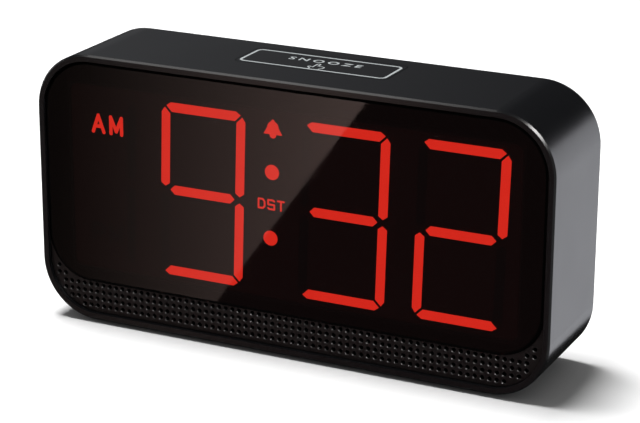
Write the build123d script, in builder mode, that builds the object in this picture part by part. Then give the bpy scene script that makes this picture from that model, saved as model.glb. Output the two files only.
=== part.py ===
from build123d import *
import os
from math import atan2, degrees, hypot, radians, tan

# Bedside clock radio, in millimetres: X to the viewer's right, Y from front to back, Z up.
# The origin is on the surface it stands on, under the middle of the whole object.
# A sleeve is open at both ends. A front panel slides in from the front and a rear cover
# from behind, and four long screws pull the two together against stops in the sleeve.

os.makedirs("parts", exist_ok=True)

# ---------------------------------------------------------------- driving dimensions

case_width = 156.0
case_height = 79.0
case_depth = 35.5
case_corner = 16.9
case_wall = 1.9
front_edge_chamfer = 0.5
rear_edge_fillet = 0.8
foot_proud = 1.0
control_proud = 1.0
panel_fit = 0.1

stop_height = 1.2
stop_width = 9.0
stop_depth = 3.0
stop_x = 54.0

lens_setback = 0.6
lens_thickness = 2.0
lens_bevel_width = 0.9
lens_bevel_depth = 0.45
lens_lower_corner = 13.5
lens_proud = 0.8
lens_gap = 0.1
tape_thickness = 0.2
tape_margin = 0.8
panel_thickness = 1.6

grille_height = 9.2
grille_hole = 1.2
grille_hole_lip = 0.15
grille_pitch_x = 2.1
grille_pitch_z = 2.13
grille_edge = 0.5
lens_hole_gap = 0.35
grille_rows = 4
cloth_thickness = 0.3
cloth_width = 130.0
cloth_gap = 0.2

column_diameter = 5.5
column_inset_x = 4.6
column_inset_z = 11.1
case_screw_diameter = 2.6
case_screw_length = 14.0
case_screw_head = 4.4
case_screw_head_height = 1.2
case_screw_sink = 0.2
thread_fit = 0.02
pilot_spare = 1.0
screw_clearance = 0.1
head_clearance = 0.2

board_thickness = 1.6
board_screw_diameter = 2.0
board_screw_length = 6.0
board_screw_head = 3.8
board_screw_head_height = 1.4
board_post_diameter = 4.6
cross_length = 2.2
cross_width = 0.6
cross_depth = 0.6

digit_height = 50.8
digit_width = 26.1
digit_lean = 1.5
digit_lift = 3.2
minute_x = 51.3
digit_pitch = 34.3
hour_pitch = 43.3
segment_width = 2.7
segment_gap = 0.5
segment_tip = 0.36
segment_shoulder = 1.35
middle_tip_gap = 0.9
middle_tip_length = 1.0
segment_fit = 0.03
diffuser_thickness = 1.5
colon_x = -4.8
colon_spacing = 19.1
colon_dot = 4.3
bell_drop = 3.9
bell_dome = 3.4
bell_dome_rise = 0.9
bell_knob = 1.0
bell_knob_rise = 2.6
bell_lip_length = 5.7
bell_lip_height = 2.2
bell_lip_angle = 60.0
bell_clapper = 2.0
bell_clapper_drop = 1.2
letter_shape = 0.72
letter_space = 2.2
dst_height = 2.6
dst_stroke = 0.5
dst_lift = 0.2
day_half_x = -56.9
day_half_drop = 9.2
day_half_height = 4.8
day_half_stroke = 1.05

reflector_width = 136.0
reflector_margin = 1.6
reflector_depth = 8.85
reflector_corner = 2.0
window_gap = 0.3
lens_air = 0.3
ear_width = 7.0
ear_x_top = 40.0
ear_x_bottom = 60.0
ear_gap = 1.0
ear_drop = 4.9
led_length = 1.6
led_width = 0.9
led_height = 0.8

cover_thickness = 2.0
main_board_width = 136.0
main_board_height = 32.5
main_board_well_gap = 1.2
main_board_gap = 7.25
main_post_inset = 3.0

chip_x = -14.0
chip_length = 18.0
chip_width = 7.6
chip_height = 2.2
chip_pins = 14
pin_pitch = 1.27
pin_width = 0.4
pin_length = 1.4
pin_thickness = 0.3
pin_hidden = 0.2
can_x = 16.0
can_length = 20.0
can_width = 14.0
can_height = 3.0
can_wall = 0.3
tuner_chip_size = 5.0
tuner_chip_height = 1.0
amplifier_x = 38.0
amplifier_drop = 6.0
amplifier_length = 5.0
amplifier_width = 4.0
amplifier_height = 1.5
amplifier_pins = 4
capacitor_x = 52.0
capacitor_pitch = 8.0
capacitor_diameter = 6.3
capacitor_height = 6.0
capacitor_fillet = 0.6

key_length = 12.0
key_height = 6.0
key_pitch = 17.0
first_key_x = -52.0
key_lift = 18.0
key_gap = 0.3
key_flange = 1.2
key_flange_thickness = 0.8
key_stem = 3.4
key_edge_fillet = 0.4
flange_gap = 0.1

switch_size = 6.0
switch_height = 3.5
plunger_diameter = 3.4
plunger_proud = 0.8
plunger_hidden = 1.0
plunger_fit = 0.05
plunger_travel_room = 0.6

snooze_length = 46.0
snooze_width = 16.1
snooze_corner = 1.8
snooze_gap = 0.2
snooze_x = 0.8
snooze_from_front = 21.65
snooze_stem = 5.0
snooze_board_length = 60.0
snooze_board_width = 12.0
snooze_post_inset = 3.0
snooze_post_length = 6.9

dial_diameter = 14.0
dial_x = 54.0
dial_gap = 0.3
dial_stem = 3.0
dial_notch = 0.8
dial_notches = 24
dial_mark_length = 5.0
dial_mark_width = 1.0
dial_mark_depth = 0.5
dial_mark_inset = 1.0
pot_size = 9.5
pot_height = 5.0
pot_floor = 1.3
stem_fit = 0.05
stem_end_gap = 0.3

slider_x = 36.0
slider_length = 3.4
slider_height = 3.0
slider_travel = 3.0
slider_gap = 0.3
slider_shield_length = 12.0
slider_shield_height = 6.0
slider_can_length = 10.0
slider_can_width = 5.0
slider_can_height = 4.0
slider_foot_depth = 1.4
slider_foot_room = 0.2
slider_groove_pitch = 1.1
slider_groove_width = 0.4
slider_groove_depth = 0.4

jack_lift = 1.5
port_fit = 0.15
port_sink = 0.2
dc_x = -50.0
dc_body = 9.0
dc_collar = 8.0
dc_bore = 6.4
dc_pin = 2.0
dc_depth = 8.0
dc_pin_sink = 1.0
usb_x = 48.0
usb_width = 13.2
usb_height = 5.8
usb_shell = 0.35
usb_base = 1.0
usb_tongue_width = 11.0
usb_tongue_height = 1.8
usb_tongue_sink = 1.0
usb_tongue_drop = 0.6

cell_diameter = 10.5
cell_length = 44.5
cell_gap = 0.4
spring_length = 6.5
spring_diameter = 5.6
spring_wire = 0.6
spring_turns = 4
contact_thickness = 0.4
contact_size = 8.6
contact_nub = 1.0
contact_nub_diameter = 3.4
cell_end_room = 1.2
well_wall = 1.2
well_lift = -20.0
door_thickness = 1.2
door_gap = 0.3
door_seat_gap = 0.1
door_overlap = 2.2
hinge_barrel = 2.0
hinge_pin = 1.0
hinge_pin_length = 1.2
hinge_fit = 0.05
hinge_drop = 1.2
hinge_clearance = 0.15
door_groove_width = 12.0
door_groove_height = 0.8
door_groove_depth = 0.4
door_groove_pitch = 2.0
door_grooves = 3
nail_notch = 10.0
nail_notch_depth = 0.8

vent_width = 1.4
vent_height = 12.0
vent_pitch = 3.2
vent_count = 6
vent_x = 47.0
vent_lift = -20.0

foot_length = 16.0
foot_width = 6.0
foot_recess = 0.6
foot_corner = 2.0
foot_fit = 0.1
foot_x = 52.0
foot_spacing = 22.0

speaker_width = 54.0
speaker_height = 12.0
speaker_depth = 7.0
speaker_corner = 4.0
speaker_lift = 1.0
speaker_rim = 2.0
speaker_wall = 0.8
speaker_back = 1.0
gasket_thickness = 0.5
surround_width = 1.4
surround_inset = 0.2
surround_thickness = 0.3
cone_depth = 2.4
cone_thickness = 0.35
coil_diameter = 6.8
coil_wall = 0.3
coil_length = 3.0
coil_gap = 0.2
magnet_diameter = 9.0
magnet_wall = 0.8
magnet_depth = 4.0
magnet_fit = 0.05

ribbon_x = -40.0
ribbon_width = 12.0
ribbon_thickness = 0.4
ribbon_plug_depth = 3.0
ribbon_plug_height = 4.0
ribbon_plug_margin = 1.0
ribbon_low_z = 26.0
ribbon_front_rise = 4.0
ribbon_rear_rise = 6.0

wire_diameter = 1.0
wire_pitch = 2.0
wire_end_lift = 4.0
aerial_diameter = 1.2
aerial_setback = 6.0
bend_share = 0.45

# ---------------------------------------------------------------- derived places

front_y = -(case_depth + control_proud) / 2
rear_y = front_y + case_depth
middle_z = foot_proud + case_height / 2
top_z = foot_proud + case_height
floor_z = foot_proud + case_wall
ceiling_z = top_z - case_wall
inside_width = case_width - 2 * case_wall
inside_height = case_height - 2 * case_wall
inside_corner = case_corner - case_wall
insert_width = inside_width - 2 * panel_fit
insert_height = inside_height - 2 * panel_fit
insert_corner = inside_corner - panel_fit

lens_front_y = front_y + lens_setback
lens_back_y = lens_front_y + lens_thickness
grille_front_y = lens_front_y + lens_proud
panel_seat_y = lens_back_y + tape_thickness
panel_back_y = panel_seat_y + panel_thickness
grille_top_z = middle_z - insert_height / 2 + grille_height
lens_bottom_z = grille_top_z + lens_gap
lens_top_z = middle_z + insert_height / 2
lens_height = lens_top_z - lens_bottom_z
lens_middle_z = (lens_top_z + lens_bottom_z) / 2

cover_front_y = rear_y - cover_thickness
control_y = rear_y + control_proud
case_screw_seat_y = rear_y - case_screw_sink - case_screw_head_height
case_screw_end_y = case_screw_seat_y - case_screw_length
board_pilot_depth = board_screw_length - board_thickness + pilot_spare
column_x = inside_width / 2 - column_inset_x
column_lift = inside_height / 2 - column_inset_z
column_spots = [(side * column_x, middle_z + level * column_lift) for side in (-1, 1) for level in (-1, 1)]

digit_z = middle_z + digit_lift
reflector_height = digit_height + 2 * reflector_margin
reflector_front_y = lens_back_y + lens_air
display_board_y = reflector_front_y + reflector_depth
display_board_back_y = display_board_y + board_thickness
ear_top_z = ceiling_z - ear_gap
ear_bottom_z = digit_z - reflector_height / 2 - ear_drop
display_post_spots = [(side * ear_x_top, ear_top_z - board_post_diameter / 2) for side in (-1, 1)]
display_post_spots += [(side * ear_x_bottom, ear_bottom_z + board_post_diameter / 2) for side in (-1, 1)]

hour_x = minute_x - digit_pitch - hour_pitch
ten_minute_x = minute_x - digit_pitch
ten_hour_x = hour_x - digit_pitch
bell_lift = digit_height / 2 - bell_drop
day_half_lift = digit_height / 2 - day_half_drop

well_length = cell_length + spring_length + 2 * contact_thickness + cell_end_room
well_height = 2 * cell_diameter + 3 * cell_gap
well_depth = cell_diameter + 2 * cell_gap
well_z = middle_z + well_lift

main_board_back_y = cover_front_y - main_board_gap
main_board_front_y = main_board_back_y - board_thickness
main_board_low_z = well_z + well_height / 2 + well_wall + main_board_well_gap
main_board_z = main_board_low_z + main_board_height / 2
main_post_x = main_board_width / 2 - main_post_inset
main_post_lift = main_board_height / 2 - main_post_inset
main_post_spots = [
    (side * main_post_x, main_board_z + level * main_post_lift) for side in (-1, 1) for level in (-1, 1)
]

key_z = middle_z + key_lift
key_names = ["time_key", "alarm_key", "radio_key", "down_key", "up_key"]
key_xs = [first_key_x + key_pitch * index for index in range(len(key_names))]
flange_back_y = cover_front_y - flange_gap
flange_front_y = flange_back_y - key_flange_thickness
plunger_tip_y = main_board_back_y + switch_height + plunger_proud

snooze_y = front_y + snooze_from_front
snooze_flange_top_z = ceiling_z - flange_gap
snooze_flange_low_z = snooze_flange_top_z - key_flange_thickness
snooze_board_top_z = ceiling_z - snooze_post_length
snooze_board_low_z = snooze_board_top_z - board_thickness
snooze_plunger_top_z = snooze_board_top_z + switch_height + plunger_proud
snooze_post_spots = [
    (snooze_x + side * (snooze_board_length / 2 - snooze_post_inset), snooze_y) for side in (-1, 1)
]

jack_z = middle_z + jack_lift
port_end_y = rear_y - port_sink

door_inner_y = rear_y - door_thickness
door_seat_y = door_inner_y - door_seat_gap
well_floor_y = door_seat_y - well_depth
well_front_y = well_floor_y - well_wall
hinge_z = well_z - well_height / 2 - well_wall - hinge_drop
hinge_y = rear_y - hinge_barrel / 2
recess_bottom_z = hinge_z - hinge_barrel / 2 - hinge_clearance
recess_top_z = well_z + well_height / 2 + door_overlap
recess_width = well_length + 2 * door_overlap
door_width = recess_width - 2 * door_gap
door_top_z = recess_top_z - door_gap
cell_z = [well_z - (cell_diameter + cell_gap) / 2, well_z + (cell_diameter + cell_gap) / 2]

speaker_z = floor_z + speaker_lift + speaker_height / 2
gasket_y = panel_back_y + cloth_thickness
speaker_front_y = gasket_y + gasket_thickness
speaker_back_y = speaker_front_y + speaker_depth


def across(y):
    """Plane across the case at a depth y: it faces the front, with X to the right and Z up."""
    return Plane.XZ.offset(-y)


def facing_back(x, y, z):
    """Plane at a point, facing the rear."""
    return Plane(origin=(x, y, z), x_dir=(-1, 0, 0), z_dir=(0, 1, 0))


def facing_front(x, y, z):
    """Plane at a point, facing the front."""
    return Plane(origin=(x, y, z), x_dir=(1, 0, 0), z_dir=(0, -1, 0))


def facing_down(x, y, z):
    """Plane at a point, facing down."""
    return Plane(origin=(x, y, z), x_dir=(1, 0, 0), z_dir=(0, 0, -1))


def facing_up(x, y, z):
    """Plane at a point, facing up."""
    return Plane(origin=(x, y, z), x_dir=(1, 0, 0), z_dir=(0, 0, 1))


# ---------------------------------------------------------------- sleeve and feet

foot_middle_y = (front_y + rear_y) / 2
foot_spots = [
    (side * foot_x, foot_middle_y + level * foot_spacing / 2) for side in (-1, 1) for level in (-1, 1)
]

with BuildPart() as outer_sleeve:
    with BuildSketch(across(front_y)):
        with Locations((0, middle_z)):
            RectangleRounded(case_width, case_height, case_corner)
            RectangleRounded(inside_width, inside_height, inside_corner, mode=Mode.SUBTRACT)
    extrude(amount=-case_depth)
    chamfer(outer_sleeve.faces().sort_by(Axis.Y)[0].outer_wire().edges(), front_edge_chamfer)
    fillet(outer_sleeve.faces().sort_by(Axis.Y)[-1].outer_wire().edges(), rear_edge_fillet)
    # Stops: a front set behind the panel and a rear set in front of the cover.
    for stop_y in (panel_back_y + stop_depth / 2, cover_front_y - stop_depth / 2):
        with Locations(*[(side * stop_x, stop_y, floor_z) for side in (-1, 1)]):
            Box(stop_width, stop_depth, 2 * stop_height)
        with Locations(*[(side * stop_x, stop_y, ceiling_z) for side in (-1, 1)]):
            Box(stop_width, stop_depth, 2 * stop_height)
        with Locations(*[(side * inside_width / 2, stop_y, middle_z) for side in (-1, 1)]):
            Box(2 * stop_height, stop_depth, stop_width)
    # Opening for the snooze key, and the two bosses that its board hangs from.
    with BuildSketch(Plane.XY.offset(ceiling_z)):
        with Locations((snooze_x, snooze_y)):
            RectangleRounded(
                snooze_length + 2 * snooze_gap, snooze_width + 2 * snooze_gap, snooze_corner + snooze_gap
            )
    extrude(amount=case_wall, mode=Mode.SUBTRACT)
    with BuildSketch(Plane.XY.offset(snooze_board_top_z)):
        with Locations(*snooze_post_spots):
            Circle(board_post_diameter / 2)
    extrude(amount=ceiling_z - snooze_board_top_z)
    with BuildSketch(Plane.XY.offset(snooze_board_top_z)):
        with Locations(*snooze_post_spots):
            Circle(board_screw_diameter / 2 + thread_fit)
    extrude(amount=board_pilot_depth, mode=Mode.SUBTRACT)
    # Recesses that the rubber feet are glued into.
    with BuildSketch(Plane.XY.offset(foot_proud)):
        with Locations(*foot_spots):
            RectangleRounded(foot_length + 2 * foot_fit, foot_width + 2 * foot_fit, foot_corner + foot_fit)
    extrude(amount=foot_recess, mode=Mode.SUBTRACT)

outer_sleeve.part.label = "outer_sleeve"
export_step(outer_sleeve.part, "parts/outer_sleeve.step")

with BuildPart() as feet:
    with BuildSketch(Plane.XY):
        with Locations(*foot_spots):
            RectangleRounded(foot_length, foot_width, foot_corner)
    extrude(amount=foot_proud + foot_recess)

feet.part.label = "feet"
export_step(feet.part, "parts/feet.step")

# ---------------------------------------------------------------- lens, tape and front panel


def lens_outline(margin):
    """The lens's outline set in by a margin: wide upper corners and slightly tighter lower ones."""
    with BuildSketch() as outline:
        with Locations((0, lens_middle_z)):
            Rectangle(insert_width - 2 * margin, lens_height - 2 * margin)
        fillet(outline.vertices().group_by(Axis.Y)[-1], insert_corner - margin)
        fillet(outline.vertices().group_by(Axis.Y)[0], lens_lower_corner - margin)
    return outline.sketch


def edge_distance(x, z, width, low_z, high_z, corner):
    """How far a point lies inside a rounded rectangle's edge; negative when it is outside."""
    out_x = abs(x) - (width / 2 - corner)
    out_z = abs(z - (low_z + high_z) / 2) - ((high_z - low_z) / 2 - corner)
    return corner - hypot(max(out_x, 0), max(out_z, 0)) - min(max(out_x, out_z), 0)


def grille_spots():
    """Square grid of holes over the strip under the lens and up its two rounded ends."""
    first_row_z = grille_top_z - grille_hole / 2 - lens_hole_gap
    margin = grille_hole / 2 + grille_edge
    columns = int(insert_width / 2 / grille_pitch_x)
    low_z = middle_z - insert_height / 2
    high_z = middle_z + insert_height / 2
    spots = []
    for row in range(1 - grille_rows, grille_rows + 1):
        z = first_row_z + row * grille_pitch_z
        for column in range(-columns, columns + 1):
            x = column * grille_pitch_x
            inside_panel = edge_distance(x, z, insert_width, low_z, high_z, insert_corner)
            inside_lens = edge_distance(x, z, insert_width, lens_bottom_z, lens_top_z, lens_lower_corner)
            if inside_panel > margin and inside_lens < -grille_hole / 2 - lens_hole_gap:
                spots.append((x, z))
    return spots


with BuildPart() as display_lens:
    with BuildSketch(across(lens_back_y)):
        add(lens_outline(0))
    extrude(amount=lens_thickness)
    lens_face = display_lens.faces().sort_by(Axis.Y)[0]
    chamfer(lens_face.edges(), lens_bevel_width, length2=lens_bevel_depth, reference=lens_face)

display_lens.part.label = "display_lens"
export_step(display_lens.part, "parts/display_lens.step")

window_width = reflector_width + 2 * window_gap
window_height = reflector_height + 2 * window_gap

with BuildPart() as lens_tape:
    with BuildSketch(across(lens_back_y)):
        add(lens_outline(tape_margin))
        with Locations((0, digit_z)):
            Rectangle(window_width + 2 * tape_margin, window_height + 2 * tape_margin, mode=Mode.SUBTRACT)
    extrude(amount=-tape_thickness)

lens_tape.part.label = "lens_tape"
export_step(lens_tape.part, "parts/lens_tape.step")

with BuildPart() as front_panel:
    with BuildSketch(across(panel_seat_y)):
        with Locations((0, middle_z)):
            RectangleRounded(insert_width, insert_height, insert_corner)
    extrude(amount=-panel_thickness)
    # The grille strip stands forward around the foot of the lens.
    with BuildSketch(across(panel_seat_y)):
        with Locations((0, middle_z)):
            RectangleRounded(insert_width, insert_height, insert_corner)
        add(lens_outline(-lens_gap), mode=Mode.SUBTRACT)
    extrude(amount=panel_seat_y - grille_front_y)
    with BuildSketch(across(panel_back_y)):
        with Locations((0, digit_z)):
            RectangleRounded(window_width, window_height, reflector_corner + window_gap)
    extrude(amount=panel_thickness, mode=Mode.SUBTRACT)
    # Grille holes, each eased at its mouth.
    with Locations(*[facing_front(x, grille_front_y, z) for x, z in grille_spots()]):
        CounterSinkHole(
            grille_hole / 2,
            grille_hole / 2 + grille_hole_lip,
            depth=panel_back_y - grille_front_y,
            counter_sink_angle=90,
        )
    # Columns that take the case screws, and posts that carry the display board.
    with BuildSketch(across(panel_back_y)):
        with Locations(*column_spots):
            Circle(column_diameter / 2)
    extrude(amount=-(cover_front_y - panel_back_y))
    with BuildSketch(across(cover_front_y)):
        with Locations(*column_spots):
            Circle(case_screw_diameter / 2 + thread_fit)
    extrude(amount=cover_front_y - case_screw_end_y + pilot_spare, mode=Mode.SUBTRACT)
    with BuildSketch(across(panel_back_y)):
        with Locations(*display_post_spots):
            Circle(board_post_diameter / 2)
    extrude(amount=-(display_board_y - panel_back_y))
    with BuildSketch(across(display_board_y)):
        with Locations(*display_post_spots):
            Circle(board_screw_diameter / 2 + thread_fit)
    extrude(amount=board_pilot_depth, mode=Mode.SUBTRACT)

front_panel.part.label = "front_panel"
export_step(front_panel.part, "parts/front_panel.step")

cloth_low_z = floor_z + stop_height + cloth_gap
cloth_top_z = ear_bottom_z - cloth_gap

with BuildPart() as grille_cloth:
    with BuildSketch(across(panel_back_y)):
        with Locations((0, (cloth_low_z + cloth_top_z) / 2)):
            Rectangle(cloth_width, cloth_top_z - cloth_low_z)
    extrude(amount=-cloth_thickness)

grille_cloth.part.label = "grille_cloth"
export_step(grille_cloth.part, "parts/grille_cloth.step")

# ---------------------------------------------------------------- digits and indicators


def segment_outline(segment):
    """Corners of one of a digit's seven bars, upright and about the digit's middle."""
    side = digit_width / 2
    top = digit_height / 2
    bar = segment_width
    tip = segment_tip * bar
    near = segment_gap
    top_bar = [
        (-side + tip + near, top - tip),
        (-side + tip + near + segment_shoulder, top),
        (side - tip - near - segment_shoulder, top),
        (side - tip - near, top - tip),
        (side - bar - near, top - bar),
        (-side + bar + near, top - bar),
    ]
    left_bar = [
        (-side + tip, top - tip - near),
        (-side, top - tip - near - segment_shoulder),
        (-side, middle_tip_gap + middle_tip_length),
        (-side + bar / 2, middle_tip_gap),
        (-side + bar, middle_tip_gap + middle_tip_length),
        (-side + bar, top - bar - near),
    ]
    middle_bar = [
        (-side + bar + near / 2, 0),
        (-side + bar + near / 2 + segment_shoulder, bar / 2),
        (side - bar - near / 2 - segment_shoulder, bar / 2),
        (side - bar - near / 2, 0),
        (side - bar - near / 2 - segment_shoulder, -bar / 2),
        (-side + bar + near / 2 + segment_shoulder, -bar / 2),
    ]
    shapes = {
        "a": (top_bar, 1, 1),
        "b": (left_bar, -1, 1),
        "c": (left_bar, -1, -1),
        "d": (top_bar, 1, -1),
        "e": (left_bar, 1, -1),
        "f": (left_bar, 1, 1),
        "g": (middle_bar, 1, 1),
    }
    outline, flip_x, flip_z = shapes[segment]
    return [(flip_x * x, flip_z * z) for x, z in outline]


def leaning(x, z):
    """A point of the display after the digits' slight lean, z being its height over their middle."""
    return (x + z * tan(radians(digit_lean)), digit_z + z)


def segment_sketch(digit_x, segments, growth):
    """Sketch of the named bars of one digit, each grown outwards by the growth."""
    with BuildSketch() as bars:
        for segment in segments:
            corners = [leaning(digit_x + x, z) for x, z in segment_outline(segment)]
            with BuildSketch(mode=Mode.PRIVATE) as bar:
                Polygon(*corners)
                if growth > 0:
                    offset(amount=growth, kind=Kind.INTERSECTION)
            add(bar.sketch)
    return bars.sketch


def colon_sketch(growth):
    """Sketch of the colon's two dots."""
    with BuildSketch() as dots:
        with Locations(*[leaning(colon_x, side * colon_spacing / 2) for side in (-1, 1)]):
            Circle(colon_dot / 2 + growth)
    return dots.sketch


def bell_sketch(growth):
    """Sketch of the alarm bell: a dome over a flared lip, with the clapper below."""
    with BuildSketch() as bell:
        with Locations(leaning(colon_x, bell_lift)):
            with Locations((0, bell_dome_rise)):
                Circle(bell_dome / 2 + growth)
            with Locations((0, bell_knob_rise)):
                Circle(bell_knob / 2 + growth)
            Trapezoid(bell_lip_length + 2 * growth, bell_lip_height + 2 * growth, bell_lip_angle)
            with Locations((0, -bell_clapper_drop)):
                Circle(bell_clapper / 2 + growth)
    return bell.sketch


# Stroke letters on a unit square, as runs of points joined by straight bars.
letter_strokes = {
    "A": [[(0, 0), (0.5, 1), (1, 0)], [(0.2, 0.34), (0.8, 0.34)]],
    "D": [[(0, 0), (0, 1), (0.7, 1), (1, 0.75), (1, 0.25), (0.7, 0), (0, 0)]],
    "M": [[(0, 0), (0, 1), (0.5, 0.15), (1, 1), (1, 0)]],
    "P": [[(0, 0), (0, 1), (0.8, 1), (1, 0.85), (1, 0.6), (0.8, 0.45), (0, 0.45)]],
    "S": [[(1, 0.9), (0.85, 1), (0, 1), (0, 0.5), (1, 0.5), (1, 0), (0.15, 0), (0, 0.1)]],
    "T": [[(0, 1), (1, 1)], [(0.5, 1), (0.5, 0)]],
}


def word_sketch(word, x, z, height, stroke, growth):
    """Sketch of a word centred on a point, each stroke a round-ended bar grown by the growth."""
    letter_width = letter_shape * height
    pitch = letter_width + letter_space * stroke
    with BuildSketch() as letters:
        for index, letter in enumerate(word):
            left = x - letter_width / 2 + (index - (len(word) - 1) / 2) * pitch
            for run in letter_strokes[letter]:
                points = [(left + u * letter_width, z + (v - 0.5) * height) for u, v in run]
                for (x1, z1), (x2, z2) in zip(points, points[1:]):
                    length = hypot(x2 - x1, z2 - z1)
                    with Locations(((x1 + x2) / 2, (z1 + z2) / 2)):
                        turn = degrees(atan2(z2 - z1, x2 - x1))
                        SlotCenterToCenter(length, stroke + 2 * growth, rotation=turn)
    return letters.sketch


def day_half_sketch(word, level, growth):
    """Sketch of AM or PM at the display's left end."""
    x, z = leaning(day_half_x, level * day_half_lift)
    return word_sketch(word, x, z, day_half_height, day_half_stroke, growth)


def dst_sketch(growth):
    """Sketch of the small daylight-saving mark between the colon's dots."""
    x, z = leaning(colon_x, dst_lift)
    return word_sketch("DST", x, z, dst_height, dst_stroke, growth)


def diffusers(*sketches):
    """Translucent inlays, flush with the reflector's face."""
    with BuildPart() as inlay:
        with BuildSketch(across(reflector_front_y)):
            for shape in sketches:
                add(shape)
        extrude(amount=-diffuser_thickness)
    return inlay


hour_segments = diffusers(segment_sketch(hour_x, "abcdfg", 0))
hour_segments.part.label = "hour_segments"
export_step(hour_segments.part, "parts/hour_segments.step")

ten_minute_segments = diffusers(segment_sketch(ten_minute_x, "abcdg", 0))
ten_minute_segments.part.label = "ten_minute_segments"
export_step(ten_minute_segments.part, "parts/ten_minute_segments.step")

minute_segments = diffusers(segment_sketch(minute_x, "abdeg", 0))
minute_segments.part.label = "minute_segments"
export_step(minute_segments.part, "parts/minute_segments.step")

dark_segments = diffusers(
    segment_sketch(ten_hour_x, "bc", 0),
    segment_sketch(hour_x, "e", 0),
    segment_sketch(ten_minute_x, "ef", 0),
    segment_sketch(minute_x, "cf", 0),
    day_half_sketch("PM", -1, 0),
)
dark_segments.part.label = "dark_segments"
export_step(dark_segments.part, "parts/dark_segments.step")

colon_dots = diffusers(colon_sketch(0))
colon_dots.part.label = "colon_dots"
export_step(colon_dots.part, "parts/colon_dots.step")

bell_icon = diffusers(bell_sketch(0))
bell_icon.part.label = "bell_icon"
export_step(bell_icon.part, "parts/bell_icon.step")

am_icon = diffusers(day_half_sketch("AM", 1, 0))
am_icon.part.label = "am_icon"
export_step(am_icon.part, "parts/am_icon.step")

dst_icon = diffusers(dst_sketch(0))
dst_icon.part.label = "dst_icon"
export_step(dst_icon.part, "parts/dst_icon.step")

# ---------------------------------------------------------------- reflector and display board

lit_bars = [(hour_x, "abcdefg"), (ten_minute_x, "abcdefg"), (minute_x, "abcdefg"), (ten_hour_x, "bc")]

with BuildPart() as display_reflector:
    with BuildSketch(across(reflector_front_y)):
        with Locations((0, digit_z)):
            RectangleRounded(reflector_width, reflector_height, reflector_corner)
        for digit_x, segments in lit_bars:
            add(segment_sketch(digit_x, segments, segment_fit), mode=Mode.SUBTRACT)
        add(colon_sketch(segment_fit), mode=Mode.SUBTRACT)
        add(bell_sketch(segment_fit), mode=Mode.SUBTRACT)
    extrude(amount=-reflector_depth)
    # The letters sit in pockets, so that the islands inside them stay joined to the block.
    with BuildSketch(across(reflector_front_y)):
        add(day_half_sketch("AM", 1, segment_fit))
        add(day_half_sketch("PM", -1, segment_fit))
        add(dst_sketch(segment_fit))
    extrude(amount=-(diffuser_thickness + segment_fit), mode=Mode.SUBTRACT)

display_reflector.part.label = "display_reflector"
export_step(display_reflector.part, "parts/display_reflector.step")

with BuildPart() as display_board:
    with BuildSketch(across(display_board_y)):
        with Locations((0, digit_z)):
            RectangleRounded(reflector_width, reflector_height, reflector_corner)
        for side in (-1, 1):
            with Locations((side * ear_x_top, (ear_top_z + digit_z) / 2)):
                Rectangle(ear_width, ear_top_z - digit_z)
            with Locations((side * ear_x_bottom, (ear_bottom_z + digit_z) / 2)):
                Rectangle(ear_width, digit_z - ear_bottom_z)
        with Locations(*display_post_spots):
            Circle(board_screw_diameter / 2 + screw_clearance, mode=Mode.SUBTRACT)
    extrude(amount=-board_thickness)

display_board.part.label = "display_board"
export_step(display_board.part, "parts/display_board.step")


def segment_middle(digit_x, segment):
    """Middle of a bar, where its light sits."""
    corners = segment_outline(segment)
    x = sum(point[0] for point in corners) / len(corners)
    z = sum(point[1] for point in corners) / len(corners)
    return leaning(digit_x + x, z)


led_spots = [segment_middle(digit_x, segment) for digit_x, segments in lit_bars for segment in segments]
led_spots += [leaning(colon_x, side * colon_spacing / 2) for side in (-1, 1)]
led_spots += [leaning(colon_x, bell_lift)]

with BuildPart() as display_leds:
    with BuildSketch(across(display_board_y)):
        with Locations(*led_spots):
            Rectangle(led_length, led_width)
    extrude(amount=led_height)

display_leds.part.label = "display_leds"
export_step(display_leds.part, "parts/display_leds.step")

# ---------------------------------------------------------------- speaker behind the grille


def speaker_ring(inset):
    """Speaker outline set in by an amount, centred on the speaker."""
    with BuildSketch() as outline:
        with Locations((0, speaker_z)):
            RectangleRounded(speaker_width, speaker_height, speaker_corner)
        if inset > 0:
            offset(amount=-inset, kind=Kind.INTERSECTION)
    return outline.sketch


cone_inset = speaker_rim + surround_width

with BuildPart() as speaker_gasket:
    with BuildSketch(across(gasket_y)):
        add(speaker_ring(0))
        add(speaker_ring(speaker_rim), mode=Mode.SUBTRACT)
    extrude(amount=-gasket_thickness)

speaker_gasket.part.label = "speaker_gasket"
export_step(speaker_gasket.part, "parts/speaker_gasket.step")

with BuildPart() as speaker_frame:
    with BuildSketch(across(speaker_front_y + surround_thickness)):
        add(speaker_ring(0))
    extrude(amount=-(speaker_depth - surround_thickness))
    with BuildSketch(across(speaker_front_y + surround_thickness)):
        add(speaker_ring(speaker_wall))
    extrude(amount=-(speaker_depth - surround_thickness - speaker_back), mode=Mode.SUBTRACT)
    # A ledge under the surround, and the seat of the magnet in the back wall.
    with BuildSketch(across(speaker_front_y + surround_thickness)):
        add(speaker_ring(speaker_wall))
        add(speaker_ring(speaker_rim), mode=Mode.SUBTRACT)
    extrude(amount=-speaker_wall)
    with BuildSketch(across(speaker_back_y)):
        with Locations((0, speaker_z)):
            Circle(magnet_diameter / 2 + magnet_fit)
    extrude(amount=speaker_back, mode=Mode.SUBTRACT)

speaker_frame.part.label = "speaker_frame"
export_step(speaker_frame.part, "parts/speaker_frame.step")

with BuildPart() as speaker_surround:
    with BuildSketch(across(speaker_front_y)):
        add(speaker_ring(surround_inset))
        add(speaker_ring(cone_inset), mode=Mode.SUBTRACT)
    extrude(amount=-surround_thickness)

speaker_surround.part.label = "speaker_surround"
export_step(speaker_surround.part, "parts/speaker_surround.step")

cone_half_width = speaker_width / 2 - cone_inset
cone_half_height = speaker_height / 2 - cone_inset
cone_neck = coil_diameter / 2 - coil_wall


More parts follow.
